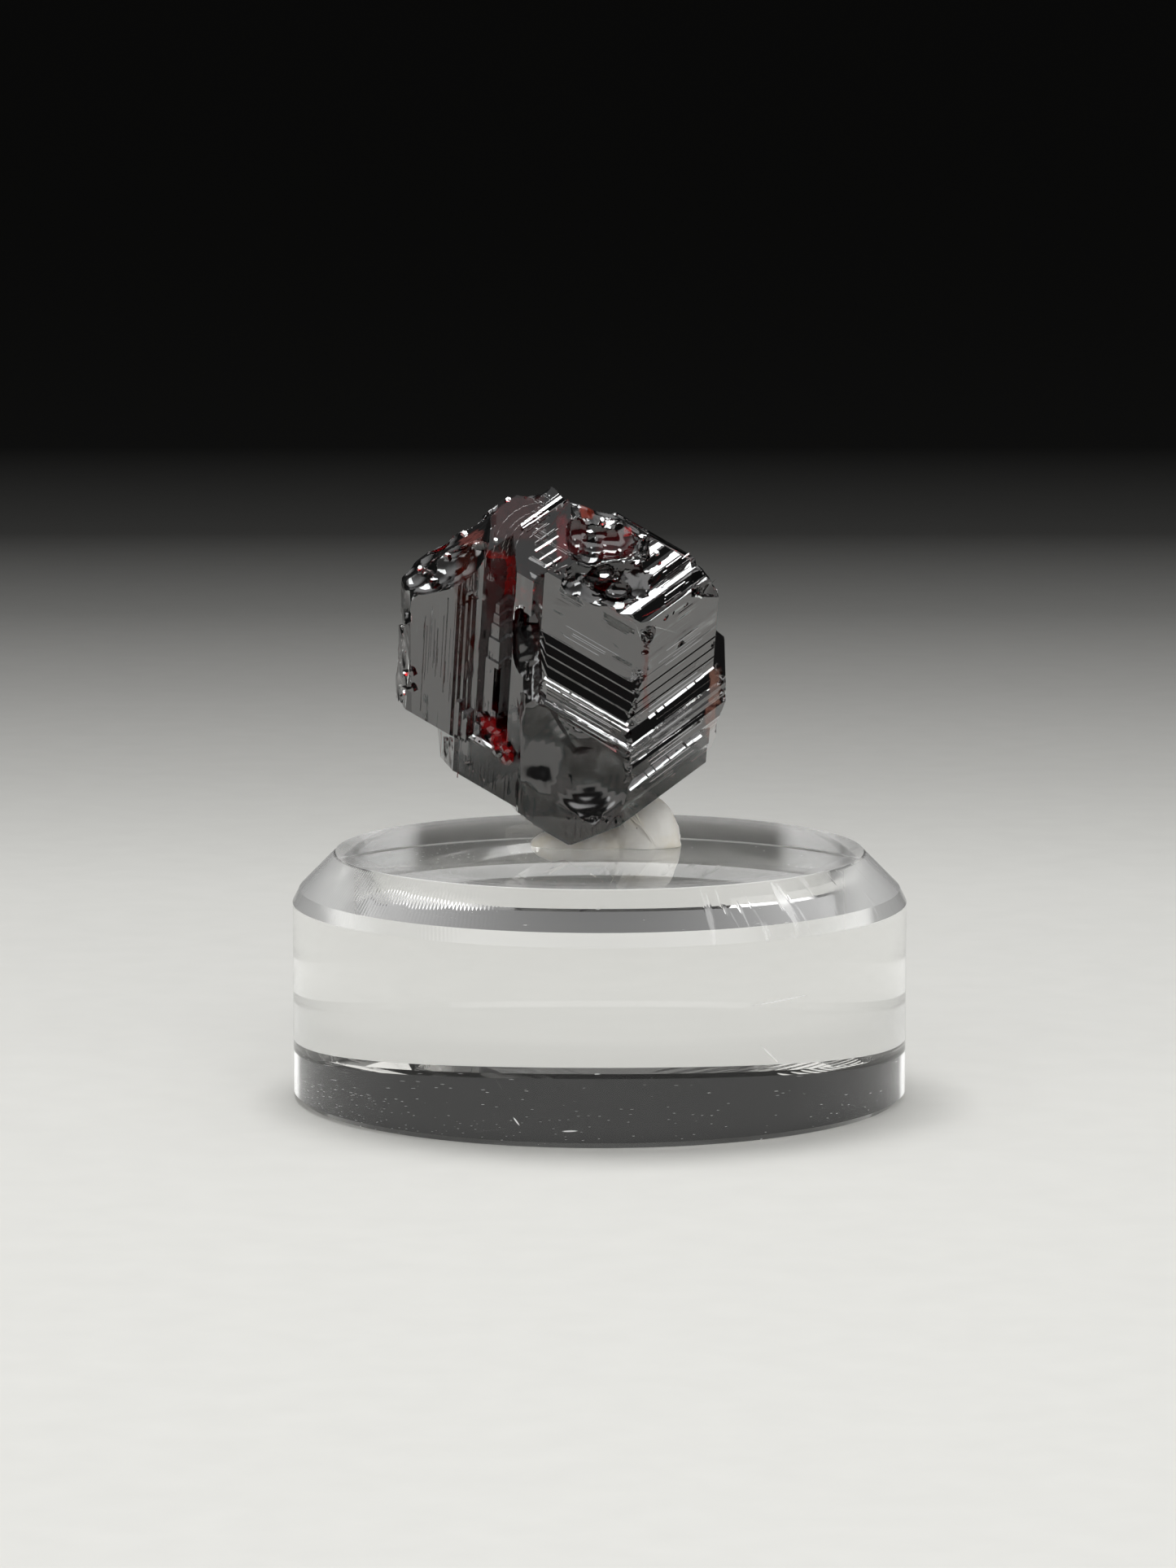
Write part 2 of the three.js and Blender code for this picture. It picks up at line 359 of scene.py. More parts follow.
def family(*index):
    """All the directions of one crystal form, such as the twelve faces of the dodecahedron (1, 1, 0)."""
    signed = itertools.product(*[(n, -n) for n in index])
    return sorted({order for signs in signed for order in itertools.permutations(signs)})


RHOMB_NORMALS = [lattice(*index) for index in family(1, 1, 0)]
GROWTH_NORMALS = RHOMB_NORMALS + [lattice(*index) for index in family(2, 1, 1)]
print("growth faces in", len(GROWTH_NORMALS), "directions")


# %% [markdown]
# ## A copy of the solid
# The stone has flat growth faces, corners that broke off and a hollow that dissolved. The solid could be
# modelled again, but a copy keeps its size exactly. Its loose triangles are welded, the bounds of the
# broken places are cut into it, and each face is marked as grown or broken by its place and its direction.

# %% Crystal mesh
WELD = 0.0005 * MM
FLAT_WITHIN = math.cos(math.radians(1.5))
# Corners that broke off, each bounded by planes of the crystal frame: a direction and its least reach, mm.
LOST_CORNERS = [
    [((-0.667, 0.746, 0), 7.9), ((-1, 0, 0), 3.3), ((0, 0, 1), -3.0)],
    [((1, 0, 0), 0.5), ((-1, 0, 0), -4.5), ((0, 1, 0), 5.8), ((0, 0, 1), -1.0)],
    [((-1, 0, 0), 7.7), ((0, 1, 0), -3.0), ((0, 0, 1), -3.0)],
    [((-1, 0, 0), 5.3), ((0, -1, 0), 3.2), ((0, 0, 1), -3.0)],
    [((1, 0, 0), 6.6), ((0, 1, 0), 3.95), ((0, 0, 1), -3.0)],
]
# The dissolved hollow above the tip is bounded in the same way.
MELT_PATCH = [
    ((-0.51, -0.86, 0), 1.8),
    ((1, 0, 0), -2.1),
    ((-1, 0, 0), -3.2),
    ((0, 1, 0), -7.3),
    ((0, 0, 1), 0),
]


def within(point, planes):
    """Whether a point of the crystal frame, mm, lies past all these planes."""
    return all(point.dot(Vector(way)) > reach for way, reach in planes)


def crystal_copy():
    """The crystal's solid, welded, with its broken faces marked in a face layer."""
    bm = bmesh.new()
    bm.from_mesh(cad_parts["garnet_crystal"].data)
    bmesh.ops.remove_doubles(bm, verts=bm.verts, dist=WELD)
    for way, reach in itertools.chain(*LOST_CORNERS, MELT_PATCH):
        way = Vector(way)
        bmesh.ops.bisect_plane(
            bm,
            geom=bm.verts[:] + bm.edges[:] + bm.faces[:],
            dist=WELD,
            plane_co=SEAT @ (way * reach * MM),
            plane_no=SEAT.to_3x3() @ way,
        )
    bmesh.ops.triangulate(bm, faces=bm.faces)
    broken = bm.faces.layers.int.new("broken")
    for face in bm.faces:
        middle = TO_CRYSTAL @ face.calc_center_median() / MM
        lost = any(within(middle, planes) for planes in [*LOST_CORNERS, MELT_PATCH])
        grown = max(face.normal.dot(normal) for normal in GROWTH_NORMALS) > FLAT_WITHIN
        face[broken] = lost or not grown
    return bm, broken


stone, broken = crystal_copy()
print("broken faces", sum(face[broken] for face in stone.faces), "of", len(stone.faces))


# %% [markdown]
# ## Placing small solids on the stone
# The next steps put hundreds of small solids on the stone. Their places could be typed in as points in
# space, but a picture shows only where they appear. So each is named by its place in the view, and a ray
# from the camera finds the point of the stone that shows there and the way its face looks.

# %% Placing on the stone
surface = BVHTree.FromBMesh(stone)


def front_hit(u, v):
    """Where the crystal shows at u, v of its own frame, mm, and the face's normal there."""
    aim = SEAT @ (Vector((u, v, 0)) * MM)
    point, normal, *_ = surface.ray_cast(CAMERA_AT, (aim - CAMERA_AT).normalized())
    return point, normal


def turned(x_axis, z_axis, origin):
    """A frame with this x direction, as near as it goes, this z direction and this origin."""
    z = z_axis.normalized()
    y = z.cross(x_axis).normalized()
    x = y.cross(z)
    return Matrix.Translation(origin) @ Matrix((x, y, z)).transposed().to_4x4()


def tool_object(bm, name):
    """A passing object for a modifier to work with."""
    mesh = bpy.data.meshes.new(name)
    bm.to_mesh(mesh)
    bm.free()
    return bpy.data.objects.new(name, mesh)


print("stone in front of its heart", [round(x / MM, 2) for x in front_hit(0, 0)[0]])


# %% [markdown]
# ## Growth lines
# The garnet grew in layers, and each layer that stopped short left a fine step along an edge of the
# lattice. A bump pattern could draw such lines, but they mirror the room, and for that they need real
# slopes. Each is a low roof on the stone: a cube whose top is drawn together to a crest. On the upper face
# short roofs, end to end, follow arcs.

# %% Growth lines
ROOF_SLOPE = math.tan(math.radians(30))
ROOF_CREST = 0.04
LINE_TAPER = 0.94
LINE_STEP, LINE_SLIDE, LINE_SHARE = (0.1, 0.9), 0.12, (0.45, 0.95)
EDGE_DOWN, EDGE_RIGHT, EDGE_LEFT = (-1, -1, 1), (1, -1, -1), (-1, 1, -1)
# Bands of lines: their edge, the band's two ends in the crystal frame, length and widths in mm, how many.
LINE_BANDS = [
    (EDGE_LEFT, (1.3, 2.0), (1.3, 1.25), 4.2, (0.07, 0.14), 4),
    (EDGE_LEFT, (1.4, -1.5), (1.4, -3.2), 3.6, (0.08, 0.2), 7),
    (EDGE_RIGHT, (6.2, 1.9), (6.2, 0.9), 3.2, (0.05, 0.10), 4),
    (EDGE_RIGHT, (5.9, -0.4), (5.9, -2.6), 4.4, (0.08, 0.2), 7),
    (EDGE_RIGHT, (5.6, -3.0), (5.6, -4.9), 4.0, (0.08, 0.22), 7),
    (EDGE_DOWN, (-7.3, 1.0), (-5.5, 1.0), 6.5, (0.05, 0.14), 9),
    (EDGE_DOWN, (-5.4, -4.6), (-2.0, -6.2), 1.7, (0.05, 0.13), 8),
    (EDGE_RIGHT, (-1.3, 8.0), (-0.7, 6.9), 1.8, (0.06, 0.14), 5),
    (EDGE_RIGHT, (5.8, 6.0), (5.8, 3.9), 2.0, (0.06, 0.16), 9),
]
draw = random.Random(7)


def growth_line(direction, middle, normal, length, width):
    bm = bmesh.new()
    bmesh.ops.create_cube(bm, size=1.0)
    for vert in bm.verts:
        if vert.co.z > 0:
            vert.co = (vert.co.x * LINE_TAPER, ROOF_CREST * vert.co.y, vert.co.z)
    height = width / 2 * ROOF_SLOPE
    bmesh.ops.scale(bm, verts=bm.verts, vec=(length * MM, width * MM, 2 * height * MM))
    bmesh.ops.transform(bm, verts=bm.verts, matrix=turned(direction, normal, middle))
    return tool_object(bm, "growth_line")


def growth_lines(bands, side=1):
    """Lines spread over each band; side -1 turns them into the stone, as tools for cracks."""
    lines = []
    for edge, first, last, length, widths, count in bands:
        direction = lattice(*edge)
        for number in range(count):
            step = (number + draw.uniform(*LINE_STEP)) / count
            middle, normal = front_hit(*Vector(first).lerp(Vector(last), step))
            if not middle:
                continue
            middle += direction * (draw.uniform(-LINE_SLIDE, LINE_SLIDE) * length * MM)
            share = draw.uniform(*LINE_SHARE)
            width = draw.uniform(*widths)
            lines.append(growth_line(direction, middle, normal * side, length * share, width))
    return lines


line_solids = growth_lines(LINE_BANDS)
print("growth lines", len(line_solids))

# %% Growth arcs
ARC_MIDDLE = (-0.9, 6.3)
ARC_RADII = (1.5, 1.9, 2.15, 2.6)
ARC_TURNS = range(95, 190, 9)
ARC_WIDTH = 0.07


def growth_arcs():
    """Short growth lines, end to end along arcs of the upper face."""
    lines = []
    for radius, turn in itertools.product(ARC_RADII, ARC_TURNS):
        out = Vector((math.cos(math.radians(turn)), math.sin(math.radians(turn)), 0))
        middle, normal = front_hit(*(Vector(ARC_MIDDLE) + out.xy * radius))
        if middle:
            direction = SEAT.to_3x3() @ Vector((-out.y, out.x, 0))
            length = radius * math.radians(ARC_TURNS.step)
            lines.append(growth_line(direction, middle, normal, length, ARC_WIDTH))
    return lines


arc_solids = growth_arcs()
print("pieces of growth arcs", len(arc_solids))


# %% [markdown]
# ## Bright ledges
# Some steps are wide enough to shine: thin white lines that turn a light towards the viewer. They could be
# painted pale, but a true ledge goes dark as the view turns. Each row is a chain of small wedges, and the
# upper side of a wedge faces half way between the camera and either the softbox or the lamp. A little
# chance in length, width and lean breaks the row up, as on the stone.

# %% Bright ledges
SOFTBOX_SIDE = Vector((0, 0.73, 0.68))
LAMP_SIDE = Vector((0.153, 0.371, 0.915))
LEDGE_PIECE = 0.5
LEDGE_STEP, LEDGE_SHARE, LEDGE_WIDTHS, LEDGE_LEAN = (0.35, 0.65), (0.75, 1.3), (0.7, 1.1), 0.03
# Rows of ledges: the two ends in the crystal frame, the width in mm and the way they face.
LEDGE_ROWS = [
    ((-0.67, -1.3), (3.49, -3.65), 0.20, LAMP_SIDE),
    ((-0.8, -0.17), (3.44, -2.6), 0.10, LAMP_SIDE),
    ((-0.8, -0.45), (3.44, -2.87), 0.07, LAMP_SIDE),
    ((3.6, -3.6), (7.2, -0.95), 0.14, LAMP_SIDE),
    ((4.4, -2.2), (7.7, 0.35), 0.15, LAMP_SIDE),
    ((3.6, -4.6), (7.3, -1.95), 0.06, LAMP_SIDE),
    ((3.45, -5.8), (7.2, -2.95), 0.20, LAMP_SIDE),
    ((-2.1, 7.55), (-0.75, 8.45), 0.10, SOFTBOX_SIDE),
    ((-1.4, 6.45), (-0.2, 7.2), 0.14, SOFTBOX_SIDE),
    ((-1.2, 5.95), (-0.2, 6.6), 0.12, SOFTBOX_SIDE),
    ((-0.9, 5.6), (-0.1, 6.1), 0.14, SOFTBOX_SIDE),
    ((-4.9, -3.0), (-3.9, -3.6), 0.18, LAMP_SIDE),
    ((-8.1, 0.3), (-7.85, 0.15), 0.18, SOFTBOX_SIDE),
    ((-8.15, -0.5), (-7.85, -0.7), 0.16, SOFTBOX_SIDE),
    ((-5.0, 4.45), (-4.35, 4.0), 0.14, LAMP_SIDE),
    ((-5.4, 3.5), (-4.95, 3.4), 0.12, LAMP_SIDE),
    ((4.1, 2.3), (4.7, 2.1), 0.15, LAMP_SIDE),
    ((4.2, 1.9), (4.75, 1.75), 0.13, LAMP_SIDE),
    ((4.25, 1.5), (4.6, 1.4), 0.09, LAMP_SIDE),
]


def wobble(reach):
    """A chance vector with each part between -reach and reach."""
    return Vector([draw.uniform(-reach, reach) for _ in range(3)])


def ledge(point, normal, way, length, width, facing):
    """A wedge whose upper side throws a light at the viewer and stands out by its width."""
    up = SEAT.to_3x3() @ (facing + wobble(LEDGE_LEAN))
    up -= way * up.dot(way)
    if up.cross(way).dot(normal) < 0:
        way = -way
    bm = bmesh.new()
    bmesh.ops.create_cube(bm, size=1.0)
    for vert in bm.verts:
        top = vert.co.z > 0
        across = width if top and vert.co.y > 0 else -width
        vert.co = Vector((vert.co.x * length, across, 0 if top else -2 * width)) * MM
    bmesh.ops.remove_doubles(bm, verts=bm.verts, dist=WELD)
    bmesh.ops.recalc_face_normals(bm, faces=bm.faces)
    bmesh.ops.transform(bm, verts=bm.verts, matrix=turned(way, up, point))
    return tool_object(bm, "ledge")


def ledges():
    pieces = []
    for start, end, width, facing in LEDGE_ROWS:
        start, end = Vector(start), Vector(end)
        count = max(1, round((end - start).length / LEDGE_PIECE))
        first, last = front_hit(*start)[0], front_hit(*end)[0]
        way = (last - first).normalized()
        for number in range(count):
            point, normal = front_hit(*start.lerp(end, (number + draw.uniform(*LEDGE_STEP)) / count))
            if point:
                length = (last - first).length / MM / count * draw.uniform(*LEDGE_SHARE)
                piece_width = width * draw.uniform(*LEDGE_WIDTHS)
                pieces.append(ledge(point, normal, way, length, piece_width, facing))
    return pieces


ledge_solids = ledges()
print("ledges", len(ledge_solids), "in", len(LEDGE_ROWS), "rows")


# %% [markdown]
# ## Young crystals
# A cluster of small garnets sits in the recess at the lower left. Small spheres could stand for them, but
# their facets are what glitters: 24 kites, the form called a trapezohedron. Its corners are few and known,
# so they are set as points, a convex hull closes them into a solid, and it is turned like the large stone.

# %% Young crystals
# The faces 2x + y + z = 1 and their like meet in corners of three kinds: a direction, and what divides it.
KITE_CORNERS = [((1, 0, 0), 2), ((1, 1, 0), 3), ((1, 1, 1), 4)]
YOUNG_CRYSTALS = [
    ((-4.1, -2.3), 0.42),
    ((-3.75, -2.55), 0.5),
    ((-3.4, -2.8), 0.42),
    ((-3.65, -3.15), 0.4),
    ((-3.15, -3.35), 0.55),
    ((-2.85, -3.75), 0.42),
    ((-3.25, -3.95), 0.36),
    ((-2.75, -4.3), 0.42),
]


def young_crystal(point, size):
    """A small garnet whose corners on the axes are one size from its middle."""
    bm = bmesh.new()
    corners = [Vector(way) / share for form, share in KITE_CORNERS for way in family(*form)]
    for corner in corners:
        bm.verts.new(corner * 2 * size * MM)
    bmesh.ops.convex_hull(bm, input=bm.verts)
    bmesh.ops.recalc_face_normals(bm, faces=bm.faces)
    place = Matrix.Translation(point) @ (SEAT.to_3x3() @ LATTICE).to_4x4()
    bmesh.ops.transform(bm, verts=bm.verts, matrix=place)
    return tool_object(bm, "young_crystal")


young_places = [(front_hit(*at)[0], size) for at, size in YOUNG_CRYSTALS]
young_solids = [young_crystal(point, size) for point, size in young_places if point]
print("young crystals", len(young_solids))


# %% [markdown]
# ## Flakes
# Thin flakes sit along the broken places and flash white. They could be cut out of the stone with planes,
# but each is a plate of its own with five or six sides. A short cone with few segments is such a plate: it
# is stretched one way, squeezed the other and turned until its flat top throws the softbox at the viewer.

# %% Flakes
LIGHT_CATCHING = Vector((0, 0.70, 0.71))
FLAKE_SIDES = (5, 6)
FLAKE_FOOT, FLAKE_TOP, FLAKE_DEPTH = 0.8, 0.55, 0.5
FLAKE_LEAN = 0.1
FLAKE_LONG, FLAKE_SHORT, FLAKE_SIZES = (0.8, 1.3), (0.45, 0.8), (0.7, 1.0)
# The place of each flake in the crystal frame and its size, mm.
FLAKES = [
    (1.45, 7.35, 0.42),
    (2.1, 7.95, 0.5),
    (4.1, 7.1, 0.36),
    (-2.75, 9.0, 0.4),
    (-3.4, 6.95, 0.36),
    (2.2, 5.05, 0.55),
    (2.8, 4.95, 0.4),
    (3.4, 5.4, 0.32),
    (3.9, 5.75, 0.34),
    (3.2, 5.85, 0.26),
    (4.4, 5.3, 0.3),
    (1.1, 5.2, 0.3),
    (-4.75, 4.25, 0.3),
    (-5.2, 3.45, 0.3),
    (-5.0, 7.3, 0.34),
    (-4.4, 6.8, 0.4),
    (-5.9, 6.2, 0.32),
    (-7.3, 5.5, 0.3),
    (-6.6, 4.9, 0.36),
    (-8.05, 0.1, 0.3),
    (-8.1, -0.9, 0.34),
    (3.0, 6.4, 0.24),
    (4.9, 6.3, 0.28),
    (4.3, 1.9, 0.18),
    (4.6, 2.15, 0.2),
    (4.45, 1.55, 0.15),
    (4.15, 2.3, 0.14),
]


def flake(point, size):
    """A thin plate whose upper side throws the softbox at the viewer."""
    bm = bmesh.new()
    bmesh.ops.create_cone(
        bm,
        cap_ends=True,
        segments=draw.choice(FLAKE_SIDES),
        radius1=size * MM * FLAKE_FOOT,
        radius2=size * MM * FLAKE_TOP,
        depth=size * MM * FLAKE_DEPTH,
    )
    up = SEAT.to_3x3() @ (LIGHT_CATCHING + wobble(FLAKE_LEAN))
    side = wobble(1)
    stretch = Matrix.Diagonal((draw.uniform(*FLAKE_LONG), draw.uniform(*FLAKE_SHORT), 1, 1))
    bmesh.ops.transform(bm, verts=bm.verts, matrix=turned(side, up, point) @ stretch)
    return tool_object(bm, "flake")


flake_places = [(front_hit(u, v)[0], size) for u, v, size in FLAKES]
flake_solids = [flake(point, size * draw.uniform(*FLAKE_SIZES)) for point, size in flake_places if point]
print("flakes", len(flake_solids))


# %% [markdown]
# ## Chips and cracks
# The stone's ridges are nicked by small bites, and fine cracks run down some of its faces. Single points
# could be pulled in, but a bite has an edge of its own. A chip is a coarse sphere, stretched and turned by
# chance, and a crack is a growth line turned over, so that its crest points into the stone. Both are tools
# that the next step cuts away.

# %% Chips and cracks
CHIP_SHAPE, CHIP_SIZES, CHIP_WANDER = (0.5, 1.3), (0.6, 1.6), 0.08
# Ridges with chips: the two ends in the crystal frame, the usual size in mm and how many.
CHIPPED_RIDGES = [
    ((4.4, 2.1), (3.45, -3.7), 0.16, 26),
    ((-1.05, 4.6), (-1.05, -1.7), 0.10, 18),
    ((3.45, -3.7), (3.25, -5.8), 0.10, 8),
    ((4.5, 2.35), (7.6, 4.4), 0.10, 9),
    ((-0.2, 5.3), (1.8, 4.5), 0.14, 10),
    ((-8.2, 2.6), (-8.3, -1.6), 0.09, 8),
    ((-6.3, -3.0), (-1.6, -8.0), 0.12, 14),
    ((0.3, -7.4), (3.3, -7.5), 0.12, 14),
    ((7.9, 1.6), (8.4, -2.0), 0.16, 12),
    ((-4.2, -0.3), (-4.2, -4.2), 0.07, 8),
]
CRACK_BANDS = [
    (EDGE_DOWN, (-5.2, -4.7), (-1.8, -6.2), 1.7, (0.06, 0.12), 8),
    (EDGE_DOWN, (0.0, -8.1), (2.5, -8.2), 0.9, (0.06, 0.12), 6),
    (EDGE_DOWN, (-7.2, 2.4), (-5.7, -0.6), 2.0, (0.05, 0.10), 6),
]


def chip(point, size):
    bm = bmesh.new()
    bmesh.ops.create_icosphere(bm, subdivisions=1, radius=size * MM)
    shape = [draw.uniform(*CHIP_SHAPE) for _ in range(3)]
    turn = Euler([draw.uniform(0, math.pi) for _ in range(3)]).to_matrix().to_4x4()
    place = Matrix.Translation(point) @ turn @ Matrix.Diagonal((*shape, 1))
    bmesh.ops.transform(bm, verts=bm.verts, matrix=place)
    return tool_object(bm, "chip")


def chips():
    bites = []
    for start, end, size, count in CHIPPED_RIDGES:
        for _ in range(count):
            u, v = Vector(start).lerp(Vector(end), draw.random())
            u += draw.uniform(-CHIP_WANDER, CHIP_WANDER)
            v += draw.uniform(-CHIP_WANDER, CHIP_WANDER)
            point = front_hit(u, v)[0]
            if point:
                bites.append(chip(point, size * draw.uniform(*CHIP_SIZES)))
    return bites


chip_tools = chips()
crack_tools = growth_lines(CRACK_BANDS, side=-1)
print("chips", len(chip_tools), "cracks", len(crack_tools))


# %% [markdown]
# ## Joining and cutting
# All these small solids belong to one stone. They could stay separate shells that overlap, but light bends
# at every surface of a clear stone, and the hidden walls would show. A stack of Boolean modifiers joins
# the first group and cuts the second; the manifold solver is quick enough for hundreds of them.

# %% Joining and cutting
def worked(bm, joins, cuts):
    """The stone with all the small solids joined to it and all the bites cut away."""
    body = tool_object(bm, "worked_stone")
    scene.collection.objects.link(body)
    for operation, tools in (("UNION", joins), ("DIFFERENCE", cuts)):
        for tool in tools:
            scene.collection.objects.link(tool)
            step = body.modifiers.new("step", "BOOLEAN")
            step.operation = operation
            step.solver = "MANIFOLD"
            step.object = tool
    depsgraph = bpy.context.evaluated_depsgraph_get()
    result = bmesh.new()
    result.from_mesh(body.evaluated_get(depsgraph).to_mesh())
    for spent in [body, *joins, *cuts]:
        bpy.data.objects.remove(spent)
    return result


joins = line_solids + arc_solids + ledge_solids + young_solids + flake_solids
cuts = chip_tools + crack_tools
print("joining", len(joins), "and cutting", len(cuts))
stone = worked(stone, joins, cuts)
broken = stone.faces.layers.int["broken"]
print("worked stone", len(stone.faces), "faces,", sum(face[broken] for face in stone.faces), "broken")


# %% [markdown]
# ## Broken faces
# Garnet has no cleavage: it breaks like glass, in bowls that meet in sharp ridges. The bowls could be cut
# one by one, but a height that moves many small triangles makes all of them at once. So the broken faces
# are split finely first, and the hollow and the upper breaks are smoothed, because they came as coarse
# facets.

# %% Fine triangles
BREAK_EDGE = 0.16 * MM
BREAK_ROUNDS = 6
UPPER_BREAKS = 2.6
MELT_SMOOTHING, UPPER_SMOOTHING = 90, 14


def refine(bm, mark, longest):
    """Halve the long edges of the marked faces, a few times over."""
    for _ in range(BREAK_ROUNDS):
        bm.edges.index_update()
        marked = [face for face in bm.faces if face[mark]]
        edges = {edge for face in marked for edge in face.edges if edge.calc_length() > longest}
        bmesh.ops.subdivide_edges(bm, edges=sorted(edges, key=lambda edge: edge.index), cuts=1)
        bmesh.ops.triangulate(bm, faces=[face for face in bm.faces if len(face.verts) > 3])


def soften(bm, verts, rounds=1):
    """Move each point half way to the middle of its neighbours."""
    axes = {"use_axis_x": True, "use_axis_y": True, "use_axis_z": True}
    for _ in range(rounds):
        bmesh.ops.smooth_vert(bm, verts=verts, factor=0.5, **axes)


def relax(bm, mark, chosen, rounds):
    """Round off the broken faces at the chosen points, away from their rim; returns how many points."""
    inner = []
    for vert in bm.verts:
        if all(face[mark] for face in vert.link_faces) and chosen(TO_CRYSTAL @ vert.co / MM):
            inner.append(vert)
    soften(bm, inner, rounds)
    return len(inner)


refine(stone, broken, BREAK_EDGE)
in_hollow = relax(stone, broken, lambda point: within(point, MELT_PATCH), MELT_SMOOTHING)
in_upper = relax(stone, broken, lambda point: point.y > UPPER_BREAKS, UPPER_SMOOTHING)
stone.normal_update()
print("smoothed", in_hollow, "points of the hollow and", in_upper, "of the upper breaks")


# %% [markdown]
# ## Bowls, pits and the hollow
# Each kind of break has a height of its own. The bowls could be round dents set by hand, but noise.voronoi
# spreads them without a pattern: it tells how far a point is from the middle of its cell, and the square
# of that distance is a bowl. Two pits of the crest are given ovals, and the dissolved hollow is one
# wide, soft bowl with faint arcs. A point on the rim of a growth face only slides within that face, so the
# flat faces stay flat.

# %% Heights of the breaks
UPPER_LEFT, RIDGE_BREAK, SIDE_BREAK = -1.9, 3.4, -5.0
# Bowls of each place: how wide a cell is and how deep its bowl, mm.
CORNER_SHELLS, CREST_SHELLS = (1.9, 1.0), (1.5, 0.9)
SIDE_SHELLS, RIDGE_SHELLS = (1.6, 0.25), (0.3, 0.2)
BOWL_RIM = 0.38
RIPPLE = (26.0, 0.006)
PITS = [((0.8, 7.06), (0.55, 1.0)), ((2.75, 6.65), (1.05, 0.8))]
PIT_DEPTH = 0.22
MELT_AT, MELT_RADIUS, MELT_DEPTH = (1.2, -5.1), 2.3, 0.42
MELT_WAVE, MELT_ARCS = (1.1, 0.14), (15.0, 0.006)


def shells(point, size, depth):
    """Height of a glassy break: bowls about one size across that meet in sharp ridges."""
    reach = noise.voronoi(point / size)[0][0]
    rings, ring_depth = RIPPLE
    return depth * min(0.0, reach * reach - BOWL_RIM) + ring_depth * math.sin(rings * reach)


def waves(point, size, depth):
    return depth * noise.noise(point / size)


def pit_share(point, at, size):
    """How far out in an oval pit a point lies: under one is inside."""
    return math.hypot((point.x - at[0]) / size[0], (point.y - at[1]) / size[1])


def melt_height(point):
    """A smooth hollow with faint arcs round its middle."""
    away = math.hypot(point.x - MELT_AT[0], point.y - MELT_AT[1])
    inside = max(0.0, 1.0 - (away / MELT_RADIUS) ** 2)
    arcs, arc_depth = MELT_ARCS
    return waves(point, *MELT_WAVE) + arc_depth * math.sin(arcs * away) - MELT_DEPTH * inside * inside


def break_height(point):
    """How far a broken surface stands out at a point of the crystal frame, mm."""
    if point.y > UPPER_BREAKS:
        out = min(pit_share(point, *pit) for pit in PITS)
        pit = -PIT_DEPTH * (1 - out * out)
        return min(pit, shells(point, *(CORNER_SHELLS if point.x < UPPER_LEFT else CREST_SHELLS)))
    if point.x > RIDGE_BREAK:
        return shells(point, *RIDGE_SHELLS)
    if point.x < SIDE_BREAK:
        return shells(point, *SIDE_SHELLS)
    return melt_height(point)


print("hollow is", round(-melt_height(Vector((*MELT_AT, 0))), 2), "mm deep in its middle")

# %% Moving the broken faces
def crumble(bm, mark):
    """Move the points of the broken faces by their height; returns the longest move."""
    moves = []
    for vert in bm.verts:
        rough = [face.normal for face in vert.link_faces if face[mark]]
        if not rough:
            continue
        out = sum(rough, Vector()).normalized()
        shift = out * break_height(TO_CRYSTAL @ vert.co / MM) * MM
        for face in vert.link_faces:
            if not face[mark]:
                shift -= face.normal * shift.dot(face.normal)
        moves.append((vert, shift))
    for vert, shift in moves:
        vert.co += shift
    return max(shift.length for _, shift in moves)


longest = crumble(stone, broken)
print("crystal", len(stone.faces), "faces, longest move", round(longest / MM, 2), "mm")


# %% [markdown]
# ## Painted red glow and dark patches
# In some places light passes through the stone and cloudy layers inside send it back red, and breaks glint
# pink. Bodies inside the stone could be modelled, but so dark a stone would swallow their light. Instead
# the stone is made less clear there and given red and pink of its own: painted light for the glow and the
# glints. A few near-black patches darken pits and broken places. The patches are squarish, because they
# follow the crystal's faces, and noise frays their rims.

# %% Red veils
BODY_RED = (0.30, 0.006, 0.008)
# Each patch: middle and half size on the front of the crystal frame in mm, its colour and its strength.
# Red and pink patches are painted glow and glints; the near-black ones darken pits and breaks.
GLOW_AND_DARK_PATCHES = [
    ((-3.15, 4.4), (0.75, 2.0), (0.05, 0.001, 0.002), 0.8),
    ((-2.62, 5.1), (0.22, 1.0), (0.26, 0.002, 0.002), 0.9),
    ((-3.3, 6.1), (0.5, 0.22), (0.26, 0.01, 0.008), 0.7),
    ((-4.85, 3.2), (0.55, 3.9), (0.04, 0.006, 0.003), 0.7),
    ((-3.75, -2.6), (0.45, 0.5), (0.20, 0.003, 0.004), 0.9),
    ((-3.2, -3.3), (0.5, 0.6), (0.26, 0.003, 0.004), 0.9),
    ((-2.75, -4.1), (0.3, 0.5), (0.22, 0.003, 0.004), 0.9),
    ((0.8, 7.06), (0.5, 0.9), (0.045, 0.001, 0.002), 0.8),
    ((2.75, 6.65), (0.95, 0.7), (0.055, 0.001, 0.002), 0.8),
    ((3.35, 7.3), (0.2, 0.25), (0.30, 0.008, 0.008), 0.8),
    ((1.3, 8.35), (0.35, 0.45), (0.22, 0.025, 0.01), 0.7),
    ((0.05, 7.0), (0.3, 1.2), (0.18, 0.03, 0.035), 0.55),
    ((7.85, -0.6), (0.3, 1.0), (0.38, 0.19, 0.14), 0.5),
    ((7.65, -2.4), (0.25, 0.9), (0.35, 0.15, 0.11), 0.5),
    ((-4.6, 7.0), (0.7, 0.4), (0.30, 0.08, 0.065), 0.4),
    ((4.3, -0.2), (0.12, 1.9), (0.14, 0.015, 0.01), 0.6),
    ((-2.2, 8.0), (1.4, 1.2), (0.16, 0.10, 0.10), 0.12),
]
PATCH_DEPTH = 1.6
PATCH_RIM = (1.05, 0.75)
PATCH_COVER = 4.0
FRAY_SCALE, FRAY_DETAIL, FRAY_REACH = 1.7, 4.0, 0.5
